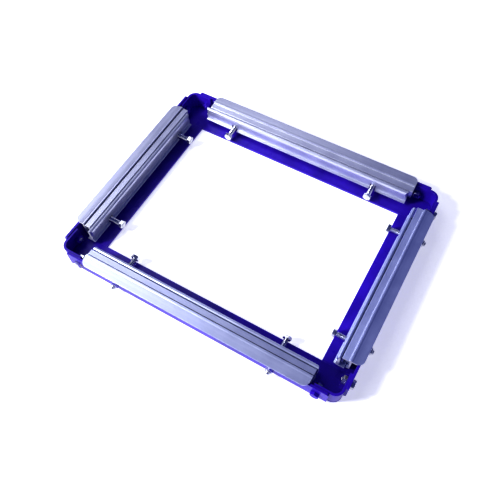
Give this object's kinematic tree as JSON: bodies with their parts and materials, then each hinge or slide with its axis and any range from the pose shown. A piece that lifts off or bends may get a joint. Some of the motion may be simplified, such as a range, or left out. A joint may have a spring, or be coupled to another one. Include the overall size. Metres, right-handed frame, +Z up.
{
  "type": "screen printing frame",
  "caption": "Self-stretching screen printing frame: steel angle rails with clamp bars pulled outward by lead screws to tension a mesh.",
  "frame": {"origin": "centre of the opening, on the underside of the rails, which the frame rests on", "axes": "+X along the long sides, +Y from the front side to the back side, +Z up out of the printing face"},
  "size_m": [0.525, 0.425, 0.041],
  "materials": {
    "frame_paint": "gloss blue-violet powder coat",
    "bar_aluminium": "satin anodised extrusion with fine lengthwise lines",
    "zinc_hardware": "bright zinc plating",
    "inner_steel": "plain drawn steel, lightly oiled"
  },
  "bodies": {
    "root": {"corner_bolts": "zinc_hardware", "corner_bracket_back_left": "frame_paint", "corner_bracket_back_right": "frame_paint", "corner_bracket_front_left": "frame_paint", "corner_bracket_front_right": "frame_paint", "corner_nuts": "zinc_hardware", "rail_back": "frame_paint", "rail_front": "frame_paint", "rail_left": "frame_paint", "rail_right": "frame_paint"},
    "bar_front": {"clamp_bar_front": "bar_aluminium", "nut_bar_front": "inner_steel", "jaw_screws_front": "inner_steel"},
    "jaw_front": {"clamp_jaw_front": "bar_aluminium"},
    "screw_front_left": {"tension_screw_front_left": "zinc_hardware", "lock_nut_front_left": "zinc_hardware", "retaining_ring_front_left": "inner_steel"},
    "screw_front_right": {"tension_screw_front_right": "zinc_hardware", "lock_nut_front_right": "zinc_hardware", "retaining_ring_front_right": "inner_steel"},
    "bar_back": {"clamp_bar_back": "bar_aluminium", "nut_bar_back": "inner_steel", "jaw_screws_back": "inner_steel"},
    "jaw_back": {"clamp_jaw_back": "bar_aluminium"},
    "screw_back_left": {"tension_screw_back_left": "zinc_hardware", "lock_nut_back_left": "zinc_hardware", "retaining_ring_back_left": "inner_steel"},
    "screw_back_right": {"tension_screw_back_right": "zinc_hardware", "lock_nut_back_right": "zinc_hardware", "retaining_ring_back_right": "inner_steel"},
    "bar_left": {"clamp_bar_left": "bar_aluminium", "nut_bar_left": "inner_steel", "jaw_screws_left": "inner_steel"},
    "jaw_left": {"clamp_jaw_left": "bar_aluminium"},
    "screw_left_front": {"tension_screw_left_front": "zinc_hardware", "lock_nut_left_front": "zinc_hardware", "retaining_ring_left_front": "inner_steel"},
    "screw_left_back": {"tension_screw_left_back": "zinc_hardware", "lock_nut_left_back": "zinc_hardware", "retaining_ring_left_back": "inner_steel"},
    "bar_right": {"clamp_bar_right": "bar_aluminium", "nut_bar_right": "inner_steel", "jaw_screws_right": "inner_steel"},
    "jaw_right": {"clamp_jaw_right": "bar_aluminium"},
    "screw_right_front": {"tension_screw_right_front": "zinc_hardware", "lock_nut_right_front": "zinc_hardware", "retaining_ring_right_front": "inner_steel"},
    "screw_right_back": {"tension_screw_right_back": "zinc_hardware", "lock_nut_right_back": "zinc_hardware", "retaining_ring_right_back": "inner_steel"}
  },
  "joints": [
    {"name": "bar_front_slide", "type": "slide", "parent": "root", "child": "bar_front", "axis": [0, -1, 0], "range_m": [-0.0076, 0.0064]},
    {"name": "screw_front_left_turn", "type": "hinge", "parent": "root", "child": "screw_front_left", "pos_m": [-0.14, -0.203, 0.015], "axis": [0, 1, 0], "range_deg": [-2190, 1844]},
    {"name": "screw_front_right_turn", "type": "hinge", "parent": "root", "child": "screw_front_right", "pos_m": [0.14, -0.203, 0.015], "axis": [0, 1, 0], "range_deg": [-2190, 1844]},
    {"name": "jaw_front_open", "type": "slide", "parent": "bar_front", "child": "jaw_front", "axis": [0, 1, 0], "range_m": [-0.001, 0.003]},
    {"name": "bar_back_slide", "type": "slide", "parent": "root", "child": "bar_back", "axis": [0, 1, 0], "range_m": [-0.008, 0.006]},
    {"name": "screw_back_left_turn", "type": "hinge", "parent": "root", "child": "screw_back_left", "pos_m": [-0.14, 0.203, 0.015], "axis": [0, -1, 0], "range_deg": [-2305, 1729]},
    {"name": "screw_back_right_turn", "type": "hinge", "parent": "root", "child": "screw_back_right", "pos_m": [0.14, 0.203, 0.015], "axis": [0, -1, 0], "range_deg": [-2305, 1729]},
    {"name": "jaw_back_open", "type": "slide", "parent": "bar_back", "child": "jaw_back", "axis": [0, -1, 0], "range_m": [-0.001, 0.003]},
    {"name": "bar_left_slide", "type": "slide", "parent": "root", "child": "bar_left", "axis": [-1, 0, 0], "range_m": [-0.0083, 0.0057]},
    {"name": "screw_left_front_turn", "type": "hinge", "parent": "root", "child": "screw_left_front", "pos_m": [-0.253, -0.106, 0.015], "axis": [1, 0, 0], "range_deg": [-2391, 1643]},
    {"name": "screw_left_back_turn", "type": "hinge", "parent": "root", "child": "screw_left_back", "pos_m": [-0.253, 0.106, 0.015], "axis": [1, 0, 0], "range_deg": [-2391, 1643]},
    {"name": "jaw_left_open", "type": "slide", "parent": "bar_left", "child": "jaw_left", "axis": [1, 0, 0], "range_m": [-0.001, 0.003]},
    {"name": "bar_right_slide", "type": "slide", "parent": "root", "child": "bar_right", "axis": [1, 0, 0], "range_m": [-0.006, 0.008]},
    {"name": "screw_right_front_turn", "type": "hinge", "parent": "root", "child": "screw_right_front", "pos_m": [0.253, -0.106, 0.015], "axis": [-1, 0, 0], "range_deg": [-1729, 2305]},
    {"name": "screw_right_back_turn", "type": "hinge", "parent": "root", "child": "screw_right_back", "pos_m": [0.253, 0.106, 0.015], "axis": [-1, 0, 0], "range_deg": [-1729, 2305]},
    {"name": "jaw_right_open", "type": "slide", "parent": "bar_right", "child": "jaw_right", "axis": [-1, 0, 0], "range_m": [-0.001, 0.003]}
  ],
  "couplings": [
    {"joint": "screw_front_left_turn", "follows": "bar_front_slide", "rad_per_m": 5026.5},
    {"joint": "screw_front_right_turn", "follows": "bar_front_slide", "rad_per_m": 5026.5},
    {"joint": "screw_back_left_turn", "follows": "bar_back_slide", "rad_per_m": 5026.5},
    {"joint": "screw_back_right_turn", "follows": "bar_back_slide", "rad_per_m": 5026.5},
    {"joint": "screw_left_front_turn", "follows": "bar_left_slide", "rad_per_m": 5026.5},
    {"joint": "screw_left_back_turn", "follows": "bar_left_slide", "rad_per_m": 5026.5},
    {"joint": "screw_right_front_turn", "follows": "bar_right_slide", "rad_per_m": 5026.5},
    {"joint": "screw_right_back_turn", "follows": "bar_right_slide", "rad_per_m": 5026.5}
  ]
}
